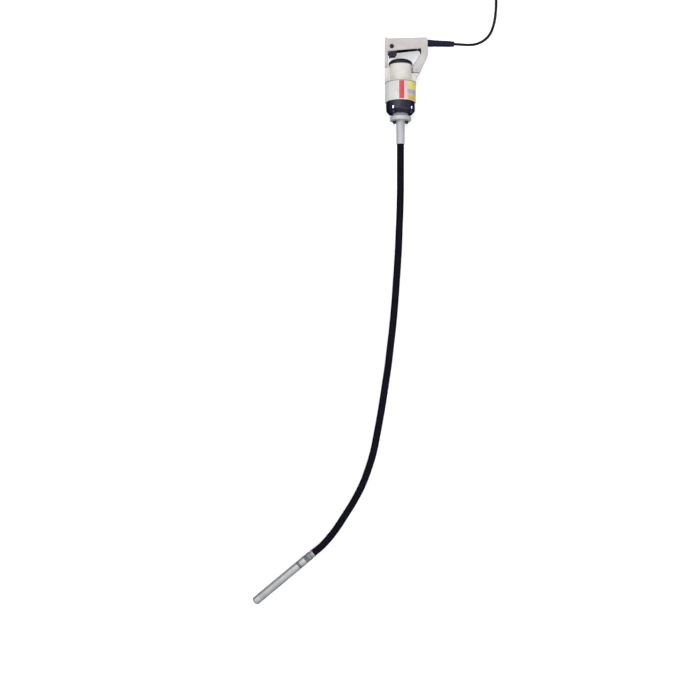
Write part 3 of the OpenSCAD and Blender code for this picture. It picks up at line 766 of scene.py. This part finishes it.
settle(cast("rear_housing_cast", "rear_housing", 0.9, 5), "tool", "cap_cream", "rear_housing")
settle(cast("bracket_cast", "front_bracket", 0.9, 5), "tool", "black_casting", "front_bracket")

dome_r = girth_radius("dome_cover")
dome_z0, dome_z1 = along_motor("dome_cover")
DOME_WALL = 5
CROWN_R = 4
dome_rise = dome_z1 - dome_z0 - DOME_WALL
dome_arc = [
    (
        dome_r * math.cos(math.radians(a)),
        dome_z0 + DOME_WALL + dome_rise * math.sin(math.radians(a)),
        0.5,
    )
    for a in range(0, 86, 5)
]
settle(
    turned("dome", on_motor, [
        (AXIS_GAP, dome_z1 - 3), (dome_r - 4, dome_z0), (dome_r, dome_z0, 0.8), *dome_arc,
        (CROWN_R, dome_z1), (AXIS_GAP, dome_z1),
    ], closed=False),
    "tool", "dome_black", "dome_cover",
)

NECK_R = 26
NECK_END = -3
NECK_BORE = 12
FLANGE_TOP = -9
flange_r = girth_radius("coupling_flange")
flange_z0, flange_z1 = along_motor("coupling_flange")
sleeve_r = girth_radius("sleeve_tube")
sleeve_z0, sleeve_z1 = along_motor("sleeve_tube")
settle(
    turned("coupling", on_motor, [
        (NECK_BORE, flange_z1), (NECK_R, flange_z1), (NECK_R, NECK_END, 2),
        (NECK_R + 3, FLANGE_TOP, 1.5), (flange_r, FLANGE_TOP, 2.6), (flange_r, flange_z0, 2.6),
        (sleeve_r, flange_z0), (sleeve_r, sleeve_z1), (NECK_BORE, sleeve_z1),
    ]),
    "tool", "satin_steel", "coupling_flange",
)
SLEEVE_BORE = 10
HOSE_SEAT_R = 12.5
HOSE_SEAT_DEPTH = 9
seat_z1 = sleeve_z0 + HOSE_SEAT_DEPTH
settle(
    turned("sleeve", on_motor, [
        (SLEEVE_BORE, sleeve_z1), (sleeve_r, sleeve_z1), (sleeve_r, sleeve_z0, 1.2),
        (HOSE_SEAT_R, sleeve_z0, 0.4), (HOSE_SEAT_R, seat_z1), (SLEEVE_BORE, seat_z1),
    ]),
    "tool", "satin_steel", "sleeve_tube",
)
# Painted shade: the dark nuts under the flange stand in for the shadow on the flange's underside
settle(cast("nuts", "flange_nuts", 0.35, 3), "tool", "dark_steel", "flange_nuts")


# ---- handle ----

settle(cast("handle_front", "handle_front_shell", 0.8, 4), "tool", "handle_grey", "handle_front_shell")
settle(cast("handle_back", "handle_back_shell", 0.8, 4), "tool", "handle_grey", "handle_back_shell")
# Painted shade: the black pad on the inside of the D stands in for the shadow on the underside of the grip
settle(cast("grip_shade_pad", "grip_pad", 0.5, 3), "tool", "black_rubber", "grip_pad")
settle(cast("trigger_lever", "trigger", 0.55, 4), "trigger", "trigger_dark", "trigger")
settle(cast("strain_relief", "cord_guard", 0.6, 3), "tool", "guard_rubber", "cord_guard")

button_low, button_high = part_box("lock_button")
button_r = (button_high.x - button_low.x) / 2 / MM
button_h = (button_high.z - button_low.z) / MM
button_at = (button_low + button_high) / 2
button_at.z = button_low.z
on_button = Matrix.Translation(button_at) @ Matrix.Scale(MM, 4)
BUTTON_SIDES = 64
settle(
    turned("button", on_button, [
        (AXIS_GAP, 0), (button_r, 0), (button_r, button_h - 1.2, 1.4),
        (button_r - 1.6, button_h, 0.8), (3, button_h - 0.6, 1.5), (AXIS_GAP, button_h - 0.8),
    ], closed=False, sides=BUTTON_SIDES),
    "lock_button", "switch_black", "lock_button",
)
shell_top = (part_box("handle_front_shell")[1].z - button_low.z) / MM
COLLAR_PROUD = 0.9
COLLAR_SUNK = 1.5
settle(
    turned("button_collar", on_button, [
        (button_r + 0.5, shell_top - COLLAR_SUNK), (button_r + 0.5, shell_top + COLLAR_PROUD, 0.5),
        (button_r + 2.6, shell_top + COLLAR_PROUD, 0.7), (button_r + 3.2, shell_top - COLLAR_SUNK),
    ], sides=BUTTON_SIDES),
    "tool", "handle_grey",
)


# ---- poker head ----

# Places along the head, from its tip, and the radii of its bores
TUBE_START = 28
TUBE_END = 200
COLLAR_END = 231
FERRULE_START = 257
TUBE_BORE = 11
CORE_BORE = 8
TIP_ROUND = 7
GROOVE_DEPTH = 1.8

head_r = (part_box("head_tube")[1].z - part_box("head_tube")[0].z) / 2 / MM
groove_r = head_r - GROOVE_DEPTH
tip_arc = [
    (
        head_r - TIP_ROUND + TIP_ROUND * math.cos(math.radians(a)),
        TIP_ROUND + TIP_ROUND * math.sin(math.radians(a)),
        0.4,
    )
    for a in range(-80, 1, 10)
]
settle(
    turned("tip", on_head, [
        (AXIS_GAP, 0), *tip_arc, (head_r, TUBE_START, 0.7), (TUBE_BORE, TUBE_START),
        (TUBE_BORE, TUBE_START + 12), (AXIS_GAP, TUBE_START + 12),
    ], closed=False),
    "tool", "head_steel", "head_tip",
)
settle(
    turned("tube", on_head, [
        (TUBE_BORE, TUBE_START), (head_r, TUBE_START, 0.7), (head_r, TUBE_END, 0.7),
        (TUBE_BORE, TUBE_END),
    ]),
    "tool", "head_steel", "head_tube",
)
settle(
    turned("groove_collar", on_head, [
        (TUBE_BORE, TUBE_END), (groove_r, TUBE_END), (groove_r, TUBE_END + 2.2),
        (head_r, TUBE_END + 2.6, 0.3), (head_r, TUBE_END + 4.4, 0.3),
        (groove_r, TUBE_END + 4.8, 0.3), (groove_r, TUBE_END + 6.8, 0.3),
        (head_r, TUBE_END + 7.2, 0.3), (head_r, COLLAR_END, 0.8), (CORE_BORE, COLLAR_END),
        (CORE_BORE, COLLAR_END - 15), (TUBE_BORE, COLLAR_END - 15),
    ]),
    "tool", "head_steel", "head_groove_collar",
)
for name, low, high in (
    ("groove_seal_lower", TUBE_END + 0.2, TUBE_END + 2.1),
    ("groove_seal_upper", TUBE_END + 4.9, TUBE_END + 6.7),
):
    settle(
        turned(name, on_head, [
            (head_r - 2, low), (head_r - 0.7, low, 0.5), (head_r - 0.7, high, 0.5),
            (head_r - 2, high),
        ]),
        "tool", "black_rubber",
    )
settle(
    turned("ferrule", on_head, [
        (CORE_BORE, FERRULE_START), (head_r - 2.6, FERRULE_START),
        (head_r - 2.6, FERRULE_START + 2, 0.6), (head_r - 0.3, FERRULE_START + 7, 1.2),
        (head_r - 0.3, head_len, 0.6), (HOSE_SEAT_R, head_len, 0.3),
        (HOSE_SEAT_R, head_len - 5), (CORE_BORE, head_len - 5),
    ]),
    "tool", "head_steel", "hose_ferrule",
)


# ---- lead end ----

settle(cast("plug_shell", "plug_body", 0.7, 4), "tool", "switch_black", "plug_body")
settle(cast("tie_strap", "lead_tie", 0.4, 2), "tool", "lead_black", "lead_tie")


# ---- floor and light ----

FLOOR_REACH = 8
CARD_Z = -0.02


def big_sheet(name, z, material):
    """A flat square under the object."""
    mesh = bpy.data.meshes.new(name)
    r = FLOOR_REACH
    corners = [(-r, -r, z), (r, -r, z), (r, r, z), (-r, r, z)]
    mesh.from_pydata(corners, [], [(0, 1, 2, 3)])
    mesh.materials.append(material)
    return link(name, mesh)


floor_finish = Finish("floor_finish").tones(3, [(250, 250, 250), (251, 251, 251), (252, 252, 252)])
floor_finish.gloss(0.75, 0.85, 6).grain(300, 0.02)
floor = big_sheet("floor", 0, floor_finish.done(specular_ior_level=0.2))
floor.visible_glossy = False
floor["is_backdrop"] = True

# A black card under the floor gives bright round parts their dark edges
card_finish = Finish("card_finish").tones(3, [(6, 6, 6), (8, 8, 8), (10, 10, 10)])
card_finish.gloss(0.9, 0.95, 6)
card = big_sheet("card", CARD_Z, card_finish.done(specular_ior_level=0.0))
card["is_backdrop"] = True


def lamp(name, at, size, power):
    """A soft square lamp, aimed at the middle of the object."""
    data = bpy.data.lights.new(name, "AREA")
    data.size = size
    data.energy = power
    made = bpy.data.objects.new(name, data)
    made.location = at
    made.rotation_mode = "QUATERNION"
    made.rotation_quaternion = (-Vector(at)).to_track_quat("-Z", "Y")
    made.visible_camera = False
    bpy.context.scene.collection.objects.link(made)


lamp("key", (-2.0, 1.6, 3.4), 3.2, 80)
lamp("overhead", (0.2, 0.2, 4.8), 5.0, 95)
lamp("fill", (2.4, -1.2, 2.8), 3.2, 55)

world = bpy.data.worlds.new("studio")
world.use_nodes = True
sky = world.node_tree.nodes["Background"]
sky.inputs["Color"].default_value = (0.94, 0.96, 1.0, 1)
sky.inputs["Strength"].default_value = 0.95
bpy.context.scene.world = world
bpy.context.scene.view_settings.view_transform = "Standard"


low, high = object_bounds()
